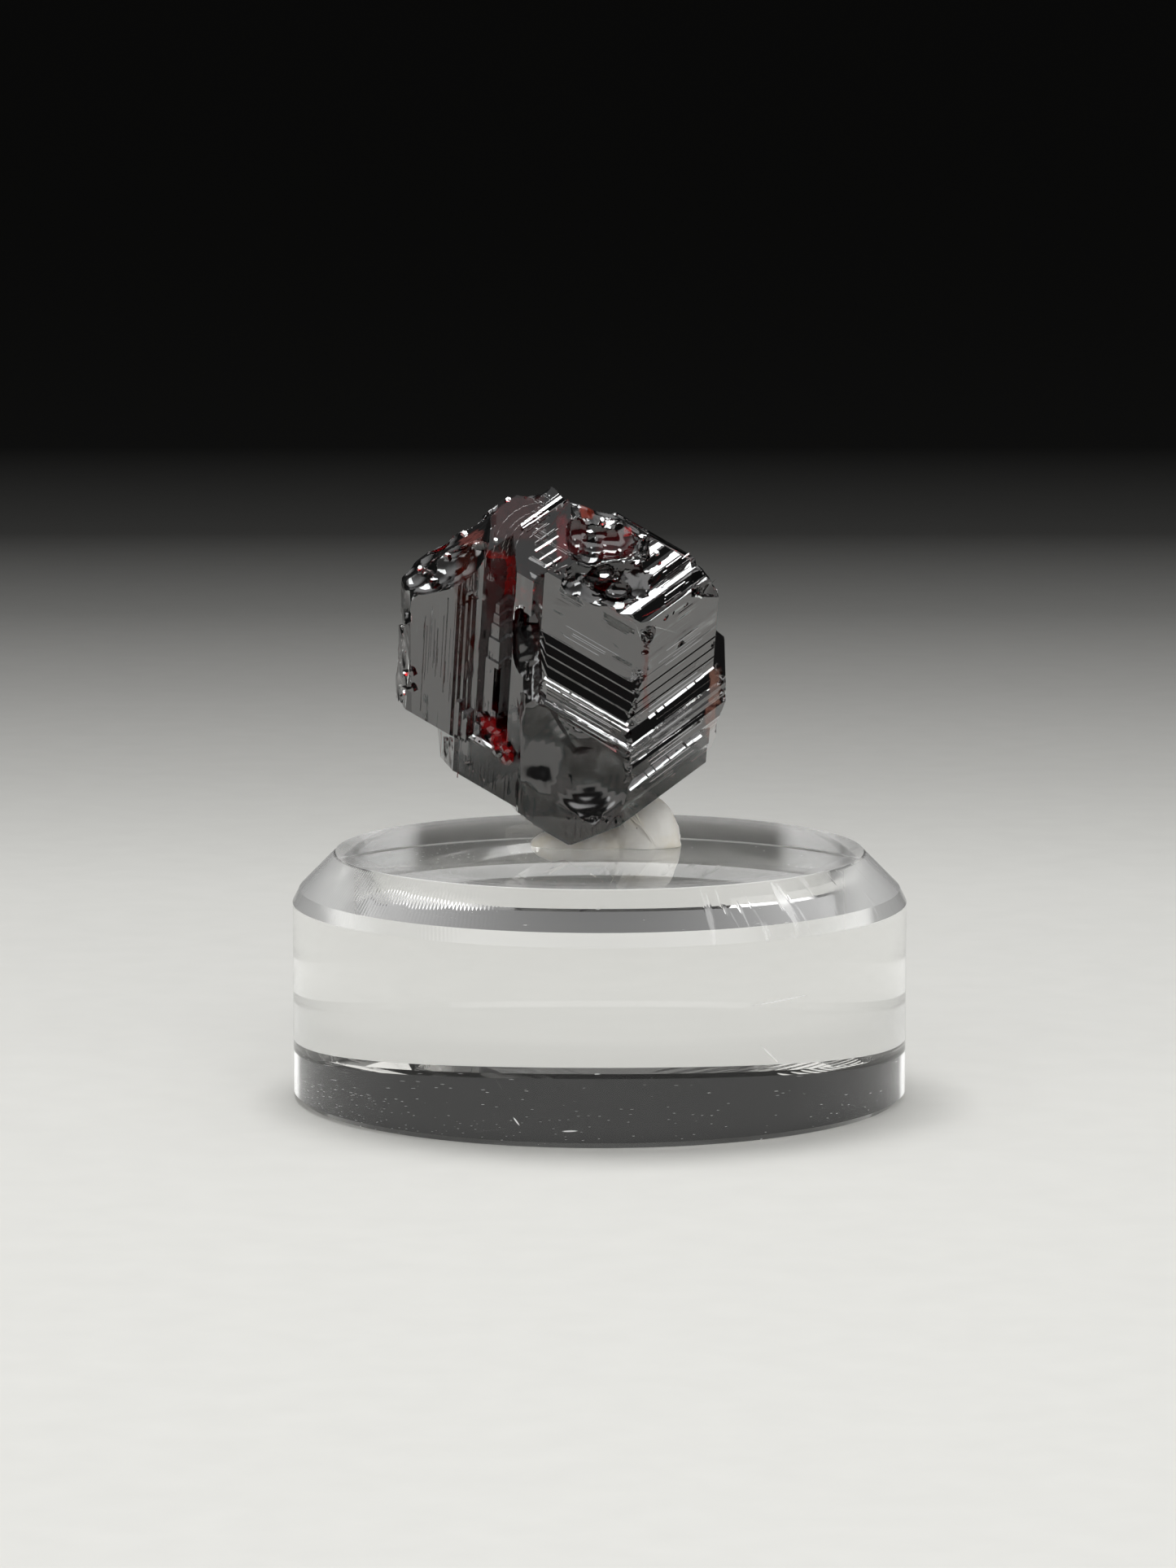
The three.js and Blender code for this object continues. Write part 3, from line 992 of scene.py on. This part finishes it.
SHRED_CLOUDS, SHRED_RANGE, SHRED_SHARE = (2.4, 5.0), (0.36, 0.58), (0.5, 1.0)


def vector_node(tree, operation, a, b=(0, 0, 0)):
    """A node that works on vectors; for SCALE the second input is a number."""
    second = {"Scale": b} if operation == "SCALE" else {"i1": b}
    node = add(tree, "VectorMath", {"operation": operation}, i0=a, **second)
    return node.outputs["Value" if operation in ("DOT_PRODUCT", "LENGTH") else "Vector"]


def patch_place(tree, point, middle, half_size, turn=0.0):
    """A point's place in a patch: zero in its middle and one at its rim, along each axis."""
    settings = {"vector_type": "TEXTURE"}
    rotation = (0, 0, turn)
    node = add(tree, "Mapping", settings, Vector=point, Location=middle, Rotation=rotation, Scale=half_size)
    return node.outputs[0]


def patch_mask(tree, point, middle, half_size):
    """One inside a squarish patch of the stone's front, fading out at its rim."""
    depth = (TO_CRYSTAL @ front_hit(*middle)[0] / MM).z
    local = patch_place(tree, point, (*middle, depth), (*half_size, PATCH_DEPTH))
    sides = add(tree, "SeparateXYZ", Vector=vector_node(tree, "ABSOLUTE", local))
    return ramp(tree, either(tree, *[sides.outputs[axis] for axis in "XYZ"]), *PATCH_RIM)


def frayed(tree, point):
    """The same point, moved about by noise."""
    cloud = add(tree, "TexNoise", Vector=point, Scale=FRAY_SCALE, Detail=FRAY_DETAIL).outputs["Color"]
    moved = vector_node(tree, "ADD", point, vector_node(tree, "SCALE", cloud, FRAY_REACH))
    return vector_node(tree, "ADD", moved, (-FRAY_REACH / 2,) * 3)


def with_painted_patches(tree, point):
    """The stone's colour and how clear it is, with patches of painted glow and of near black over its red.
    """
    ragged = frayed(tree, point)
    shreds = ramp(tree, clouds(tree, point, *SHRED_CLOUDS), *SHRED_RANGE, *SHRED_SHARE)
    colour = (*BODY_RED, 1)
    clear = 1.0
    for middle, half_size, tone, strength in GLOW_AND_DARK_PATCHES:
        mask = both(tree, patch_mask(tree, ragged, middle, half_size), strength, shreds)
        cover = math_node(tree, "MULTIPLY", mask, PATCH_COVER, clamp=True)
        colour = mix_colour(tree, cover, colour, (*tone, 1))
        clear = both(tree, clear, math_node(tree, "SUBTRACT", 1.0, mask))
    return colour, clear


print("glow_and_dark_patches", len(GLOW_AND_DARK_PATCHES))


# %% [markdown]
# ## The finest growth lines
# Between the modelled lines the faces carry more, too fine to model one by one. A bump pattern could show
# them, but what is seen of such a step is its slope, not its height. So the normal itself leans to one
# side or the other along narrow stripes. A face's grain, a direction kept in the mesh, says which way the
# stripes run.

# %% Finest growth lines
# How many stripes there are per millimetre, and how far the normal leans on them.
STRIPE_KINDS = [(1.6, 0.4), (6.5, 0.25)]
STRIPE_DETAIL = 2.0
STRIPE_UP, STRIPE_DOWN = (0.62, 0.65), (0.38, 0.35)
FADE_CLOUDS, FADE_RANGE = (0.55, 2.0), (0.46, 0.66)


def stripes(tree, across, scale):
    """Noise that changes in one direction only."""
    settings = {"noise_dimensions": "1D"}
    return add(tree, "TexNoise", settings, W=across, Scale=scale, Detail=STRIPE_DETAIL).outputs["Fac"]


def leaning_normal(tree, place):
    """The normal, leaning to and fro along narrow stripes across the stone's grain."""
    grain = add(tree, "Attribute", {"attribute_name": "grain"}).outputs["Vector"]
    across = vector_node(tree, "DOT_PRODUCT", place, grain)
    lean = 0.0
    for scale, strength in STRIPE_KINDS:
        tone = stripes(tree, across, scale)
        up = ramp(tree, tone, *STRIPE_UP, 0.0, strength)
        down = ramp(tree, tone, *STRIPE_DOWN, 0.0, strength)
        lean = math_node(tree, "ADD", lean, math_node(tree, "SUBTRACT", up, down))
    lean = both(tree, lean, ramp(tree, clouds(tree, place, *FADE_CLOUDS), *FADE_RANGE))
    shift = vector_node(tree, "SCALE", grain, lean)
    normal = add(tree, "NewGeometry").outputs["Normal"]
    return vector_node(tree, "NORMALIZE", vector_node(tree, "ADD", normal, shift))


print("stripe kinds", len(STRIPE_KINDS))


# %% [markdown]
# ## Garnet
# Garnet bends light strongly and shines like glass, and its deep red takes up most light within a few
# millimetres, so thick parts look black. Dark paint with a shine could look alike from one side. A
# see-through shader with an absorbing volume is the real thing: thin edges glow red from every side. A
# clear coat gives the glassy shine of the flat faces; etched places have less of it and the upper breaks
# none.

# %% Garnet material
GARNET_IOR = 1.8
THICK_RED, TAKEN_PER_METRE = (0.75, 0.03, 0.04, 1), 1800.0
COAT_ROUGHNESS = 0.03
POLISH_CLOUDS, POLISH_RANGE, POLISH_ROUGHNESS = (0.9, 5.0), (0.35, 0.75), (0.02, 0.10)
ETCHED_BELOW = (3.0, 2.0)
ETCHED_ROUGHNESS, ETCHED_SHINE = 0.17, 0.4
GRIT_CLOUDS, GRIT_STRENGTH, GRIT_HEIGHT = (7.0, 3.0), 0.06, 0.02 * MM


def garnet_material():
    material, tree, shader, output = new_material("garnet")
    point = placed(tree, SEAT)
    # The body red with patches laid over it: painted red glow, pink glints and near-black spots.
    colour, clear = with_painted_patches(tree, point)
    breaks = add(tree, "Attribute", {"attribute_name": "broken"}).outputs["Fac"]
    lower = ramp(tree, add(tree, "SeparateXYZ", Vector=point).outputs["Y"], *ETCHED_BELOW)
    polish = ramp(tree, clouds(tree, point, *POLISH_CLOUDS), *POLISH_RANGE, *POLISH_ROUGHNESS)
    shine = ramp(tree, breaks, 0.0, 1.0, 1.0, both(tree, lower, ETCHED_SHINE))
    bump = add(
        tree,
        "Bump",
        Height=clouds(tree, point, *GRIT_CLOUDS),
        Strength=GRIT_STRENGTH,
        Distance=GRIT_HEIGHT,
        Normal=leaning_normal(tree, placed(tree)),
    ).outputs[0]
    dress(
        tree,
        shader,
        Base_Color=colour,
        Roughness=either(tree, polish, both(tree, breaks, lower, ETCHED_ROUGHNESS)),
        IOR=GARNET_IOR,
        Transmission_Weight=clear,
        Coat_Weight=both(tree, shine, clear),
        Coat_IOR=GARNET_IOR,
        Coat_Roughness=COAT_ROUGHNESS,
        Normal=bump,
        Coat_Normal=bump,
    )
    depth = add(tree, "VolumeAbsorption", Color=THICK_RED, Density=TAKEN_PER_METRE)
    dress(tree, output, Volume=depth.outputs[0])
    return material


garnet_finish = garnet_material()
print("garnet nodes", len(garnet_finish.node_tree.nodes))

# %% Grain and the finished stone
GRAIN_LEFT, GRAIN_RIGHT = -1.4, 3.9
LEAST_TURN = 0.1
GARNET_SHARP = 18


def grain_of(face):
    """The direction across the growth lines of a dodecahedron face, or nothing elsewhere."""
    if max(face.normal.dot(normal) for normal in RHOMB_NORMALS) < FLAT_WITHIN:
        return Vector()
    middle = TO_CRYSTAL @ face.calc_center_median() / MM
    edge = EDGE_DOWN if middle.x < GRAIN_LEFT else EDGE_LEFT if middle.x < GRAIN_RIGHT else EDGE_RIGHT
    across = face.normal.cross(lattice(*edge))
    return across.normalized() if across.length > LEAST_TURN else Vector()


def add_grain(bm):
    layer = bm.faces.layers.float_vector.new("grain")
    for face in bm.faces:
        face[layer] = grain_of(face)


stone.normal_update()
add_grain(stone)
crystal = finish_mesh(stone, "garnet", garnet_finish, sharp=GARNET_SHARP)
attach(crystal, "root")
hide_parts("garnet_crystal")
print("crystal", len(crystal.data.polygons), "faces")


# %% [markdown]
# ## Acrylic base
# The base is a stock round of clear acrylic with a wide bevel turned on its upper edge. A cylinder with a
# Bevel modifier could make it, but here the foot, the wide bevel and the softened edge below it all
# differ. So half the outline is drawn point by point and spun round the axis, as a lathe would cut it.

# %% Base shape
BASE_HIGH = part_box("acrylic_base")[1]
BASE_RADIUS, BASE_TOP = BASE_HIGH.x, BASE_HIGH.z
BASE_TOP_RADIUS = 13.65 * MM
BEVEL_DROP = 2.25 * MM
EDGE_ROUND = 0.35 * MM
FOOT_BEVEL = 0.3 * MM
SPIN_STEPS = 192
BASE_SHARP = 12


def base_outline():
    edge = BASE_TOP - BEVEL_DROP
    return [
        (0, 0),
        (BASE_RADIUS - FOOT_BEVEL, 0),
        (BASE_RADIUS, FOOT_BEVEL),
        (BASE_RADIUS, edge - EDGE_ROUND),
        (BASE_RADIUS - EDGE_ROUND, edge + EDGE_ROUND),
        (BASE_TOP_RADIUS, BASE_TOP),
        (0, BASE_TOP),
    ]


def make_base(material):
    bm = bmesh.new()
    verts = [bm.verts.new((x, 0, z)) for x, z in base_outline()]
    edges = [bm.edges.new(pair) for pair in zip(verts, verts[1:])]
    bmesh.ops.spin(
        bm,
        geom=verts + edges,
        cent=(0, 0, 0),
        axis=(0, 0, 1),
        angle=2 * math.pi,
        steps=SPIN_STEPS,
        use_merge=True,
    )
    bmesh.ops.remove_doubles(bm, verts=bm.verts, dist=WELD)
    bmesh.ops.recalc_face_normals(bm, faces=bm.faces)
    return finish_mesh(bm, "base", material, sharp=BASE_SHARP)


print("base outline", [(round(x / MM, 2), round(z / MM, 2)) for x, z in base_outline()])


# %% [markdown]
# ## Clear acrylic
# The acrylic is clear but used: ticks from the lathe and smears on the bevel, a rubbed ring on top,
# scratches on the wall and specks under the foot. The bevel is also frosted pale at its left and right
# ends as seen from the camera: painted light for the brightness of its sides. A picture of such marks
# could be wrapped round it, but masks made from the radius, the height and the angle stay sharp at any
# size. First come those places of a point, then one helper for each kind of mark.

# %% Places on the base
def base_places(tree):
    """Where a point lies on the base, mm: its axes, radius, angle from the front and place on the wall."""
    at = SimpleNamespace(point=placed(tree))
    axis = add(tree, "SeparateXYZ", Vector=at.point)
    at.x, y, at.z = [axis.outputs[name] for name in "XYZ"]
    at.radius = math_node(tree, "SQRT", math_node(tree, "ADD", both(tree, at.x, at.x), both(tree, y, y)))
    at.front = math_node(tree, "MULTIPLY", y, -1.0)
    at.angle = math_node(tree, "ARCTAN2", at.x, at.front)
    at.along = math_node(tree, "MULTIPLY", at.angle, BASE_RADIUS / MM)
    at.unrolled = add(tree, "CombineXYZ", X=at.along, Y=at.z).outputs[0]
    return at


print("wall unrolls to", round(2 * math.pi * BASE_RADIUS / MM, 1), "mm")

# %% Wear of the bevel
EDGE_HEIGHT = (BASE_TOP - BEVEL_DROP) / MM
BEVEL_FROM, BEVEL_RIM = (EDGE_HEIGHT - 0.5, EDGE_HEIGHT - 0.3), (BASE_TOP_RADIUS / MM, 13.8)
# Pale frost on the bevel's left and right ends as seen from the camera: painted light for their brightness.
LIT_BEVEL_ENDS, LIT_ENDS_FROST = (10.5, 13.5), 0.42
SMEAR_TURN, SMEAR_STRETCH, SMEAR_CLOUDS = 0.5, (1.4, 0.3, 1), (1.0, 3.0)
SMEAR_RANGE, SMEARS_FROM, SMEAR_FROST = (0.55, 0.66), (4.0, 7.0), 0.3
TICKS_ROUND, TICK_SLANT, TICK_HEIGHT = 420, 8.8, 0.5
TICKS_FROM, WORN_CLOUDS, WORN_RANGE = (-4.0, -7.5), (0.55, 5.0), (0.3, 0.6)


def bevel_wear_and_lit_ends(tree, at):
    """Bevel frost, its pale ends painted light, and the height of smears on the right and lathe ticks on
    the left.
    """
    bevel = both(tree, ramp(tree, at.z, *BEVEL_FROM), ramp(tree, at.radius, *BEVEL_RIM))
    # The ends of the bevel, made pale as painted light.
    lit_ends = ramp(tree, math_node(tree, "ABSOLUTE", at.x), *LIT_BEVEL_ENDS)
    turn = (0, 0, SMEAR_TURN)
    slanted = add(tree, "Mapping", Vector=at.unrolled, Rotation=turn, Scale=SMEAR_STRETCH).outputs[0]
    smears = ramp(tree, clouds(tree, slanted, *SMEAR_CLOUDS), *SMEAR_RANGE)
    smears = both(tree, smears, ramp(tree, at.along, *SMEARS_FROM))
    turns = math_node(tree, "ADD", both(tree, at.angle, TICKS_ROUND), both(tree, at.z, TICK_SLANT))
    worn = ramp(tree, clouds(tree, at.unrolled, *WORN_CLOUDS), *WORN_RANGE)
    ticked = both(tree, bevel, ramp(tree, at.along, *TICKS_FROM), worn)
    ticks = both(tree, math_node(tree, "SINE", turns), ticked, TICK_HEIGHT)
    frost_and_lit_ends = either(tree, both(tree, lit_ends, LIT_ENDS_FROST), both(tree, smears, SMEAR_FROST))
    return both(tree, bevel, frost_and_lit_ends), math_node(tree, "ADD", ticks, both(tree, smears, bevel))


print("bevel from", round(EDGE_HEIGHT, 2), "mm up to", round(BASE_TOP / MM, 2))

# %% Wear of the foot, the wall and the top
UNDERSIDE = (0.12, 0.02)
SPECK_SCALE, SPECK_RIM, SPECK_FROST = 2.6, (0.20, 0.12), 0.8
SPECK_PLACES, SPECK_SHARE = (-3.0, -11.0), (0.88, 0.35)
WALL_FROM, WALL_FRONT = (15.6, 15.8), (0.0, 2.0)
# Scratches on the wall: middle along the wall from the front and height, half length, turn; mm and radians.
SCRATCHES = [
    ((9.6, 7.0), 1.9, 0.06),
    ((9.0, 4.3), 0.9, -0.75),
    ((-1.5, 0.9), 0.45, 0.05),
    ((-4.2, 1.3), 0.3, -0.9),
]
SCRATCH_HALF_WIDTH, SCRATCH_RIM, SCRATCH_FROST = 0.05, (1.0, 0.6), 0.8
FLAT_TOP = (BASE_TOP / MM - 0.05, BASE_TOP / MM - 0.01)
RUBBED_FROM, RUB_FROST = (10.5, 13.2), 0.3
STREAK_SCALE, STREAK_RANGE, STREAK_SHARE = 1.8, (0.35, 0.6), (0.4, 1.0)


def foot_specks(tree, at):
    """Dots of dust under the foot, more of them on the left."""
    dots = add(tree, "TexVoronoi", Vector=at.point, Scale=SPECK_SCALE)
    chance = add(tree, "SeparateColor", Color=dots.outputs["Color"]).outputs["Red"]
    least = ramp(tree, at.x, *SPECK_PLACES, *SPECK_SHARE)
    chosen = math_node(tree, "GREATER_THAN", chance, least)
    dot = ramp(tree, dots.outputs["Distance"], *SPECK_RIM)
    return both(tree, ramp(tree, at.z, *UNDERSIDE), dot, chosen)


def wall_scratches(tree, at):
    """Thin ovals on the front of the wall."""
    marks = []
    for middle, half_length, turn in SCRATCHES:
        half_size = (half_length, SCRATCH_HALF_WIDTH, 1)
        local = patch_place(tree, at.unrolled, (*middle, 0), half_size, turn)
        marks.append(ramp(tree, vector_node(tree, "LENGTH", local), *SCRATCH_RIM))
    wall = both(tree, ramp(tree, at.radius, *WALL_FROM), ramp(tree, at.front, *WALL_FRONT))
    return both(tree, wall, either(tree, *marks))


def rubbed_ring(tree, at):
    """Streaks round the outer part of the flat top."""
    streaks = ramp(tree, stripes(tree, at.radius, STREAK_SCALE), *STREAK_RANGE, *STREAK_SHARE)
    return both(tree, ramp(tree, at.z, *FLAT_TOP), ramp(tree, at.radius, *RUBBED_FROM), streaks)


print("scratches", len(SCRATCHES))


# %% [markdown]
# ## The base put together
# Polished acrylic lets nearly all light through. Wear could be shown as white paint on it, but a worn
# place still lets some light pass. So wherever a kind of wear holds, the shader transmits less and is
# rougher, and the ticks and smears of the bevel also bend the light by a faint bump. The pale ends of the
# bevel are made the same way, as painted light.

# %% Base
ACRYLIC_TINT = (0.97, 0.97, 0.96, 1)
ACRYLIC_IOR = 1.49
POLISHED, WORN_ROUGHNESS = 0.012, 0.35
WEAR_STRENGTH, WEAR_HEIGHT = 0.5, 0.01 * MM


def acrylic_material():
    material, tree, shader, _ = new_material("clear_acrylic")
    at = base_places(tree)
    frosted, height = bevel_wear_and_lit_ends(tree, at)
    # Frost of wear, with the bevel's pale ends as painted light, and the specks, scratches and rubbed ring.
    cloudy = either(
        tree,
        frosted,
        both(tree, foot_specks(tree, at), SPECK_FROST),
        both(tree, wall_scratches(tree, at), SCRATCH_FROST),
        both(tree, rubbed_ring(tree, at), RUB_FROST),
    )
    bump = add(tree, "Bump", Height=height, Strength=WEAR_STRENGTH, Distance=WEAR_HEIGHT)
    dress(
        tree,
        shader,
        Base_Color=ACRYLIC_TINT,
        Roughness=either(tree, POLISHED, both(tree, cloudy, WORN_ROUGHNESS)),
        IOR=ACRYLIC_IOR,
        Transmission_Weight=math_node(tree, "SUBTRACT", 1.0, cloudy),
        Normal=bump.outputs[0],
    )
    return material


base = make_base(acrylic_material())
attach(base, "root")
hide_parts("acrylic_base")
print("base", len(base.data.polygons), "faces")


# %% [markdown]
# ## Tack
# Mineral tack is a soft putty: a thumbed lump pressed under the stone. A squashed sphere could stand for
# it, but putty takes the shape of what it holds. Three stretched spheres are melted into one skin by a
# Remesh modifier and dented with noise. Then every point that would sit inside the stone is pushed out
# onto its surface, so the putty fits the crystal closely.

# %% Tack shape
# Lobes of the lump: their middle on the base's top and their half sizes, mm.
TACK_LOBES = [
    ((2.2, 1.9), (2.05, 1.9, 2.75)),
    ((-0.8, 1.5), (2.7, 1.6, 1.1)),
    ((3.0, 1.6), (1.3, 1.5, 0.9)),
]
TACK_SKIN = 0.10 * MM
TACK_DENTS, TACK_GRAIN = (1.3, 0.16), (0.3, 0.03)
TACK_CLEAR = 0.02 * MM
TACK_SHARP = 60


def melted(bm, skin):
    """One closed skin round overlapping solids."""
    lump = tool_object(bm, "lump")
    scene.collection.objects.link(lump)
    remesh = lump.modifiers.new("skin", "REMESH")
    remesh.mode = "VOXEL"
    remesh.voxel_size = skin
    depsgraph = bpy.context.evaluated_depsgraph_get()
    result = bmesh.new()
    result.from_mesh(lump.evaluated_get(depsgraph).to_mesh())
    bpy.data.objects.remove(lump)
    return result


def make_tack(material):
    lobes = bmesh.new()
    for (x, y), size in TACK_LOBES:
        place = Matrix.Translation((x * MM, y * MM, BASE_TOP)) @ Matrix.Diagonal((*size, 1))
        bmesh.ops.create_icosphere(lobes, subdivisions=5, radius=MM, matrix=place)
    bm = melted(lobes, TACK_SKIN)
    soften(bm, bm.verts)
    stone_surface = BVHTree.FromObject(crystal, bpy.context.evaluated_depsgraph_get())
    bm.normal_update()
    for vert in bm.verts:
        point = vert.co / MM
        vert.co += vert.normal * (waves(point, *TACK_DENTS) + waves(point, *TACK_GRAIN)) * MM
    for vert in bm.verts:
        near, normal, _, _ = stone_surface.find_nearest(vert.co)
        if (vert.co - near).dot(normal) < TACK_CLEAR:
            vert.co = near + normal * TACK_CLEAR
        vert.co.z = max(vert.co.z, BASE_TOP + TACK_CLEAR)
    bmesh.ops.remove_doubles(bm, verts=bm.verts, dist=TACK_SKIN / 10)
    return finish_mesh(bm, "tack", material, sharp=TACK_SHARP)


print("tack lobes", len(TACK_LOBES))


# %% [markdown]
# ## Putty
# The putty is off-white and dull, a little warmer where it was handled. One plain colour could do, but
# large soft stains and a fine grain in the roughness and the bump keep it from looking like plastic.

# %% Tack
PALE_PUTTY, WARM_PUTTY = (0.93, 0.91, 0.86, 1), (0.86, 0.81, 0.70, 1)
STAIN_CLOUDS, STAIN_RANGE = (0.7, 5.0), (0.4, 0.7)
PUTTY_CLOUDS, PUTTY_RANGE, PUTTY_ROUGHNESS = (9.0, 4.0), (0.3, 0.7), (0.6, 0.85)
PUTTY_STRENGTH, PUTTY_HEIGHT = 0.35, 0.04 * MM


def tack_material():
    material, tree, shader, _ = new_material("tack")
    point = placed(tree)
    stain = ramp(tree, clouds(tree, point, *STAIN_CLOUDS), *STAIN_RANGE)
    grain = clouds(tree, point, *PUTTY_CLOUDS)
    bump = add(tree, "Bump", Height=grain, Strength=PUTTY_STRENGTH, Distance=PUTTY_HEIGHT)
    dress(
        tree,
        shader,
        Base_Color=mix_colour(tree, stain, PALE_PUTTY, WARM_PUTTY),
        Roughness=ramp(tree, grain, *PUTTY_RANGE, *PUTTY_ROUGHNESS),
        Normal=bump.outputs[0],
    )
    return material


tack = make_tack(tack_material())
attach(tack, "root")
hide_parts("mineral_tack")
print("tack", len(tack.data.polygons), "faces")
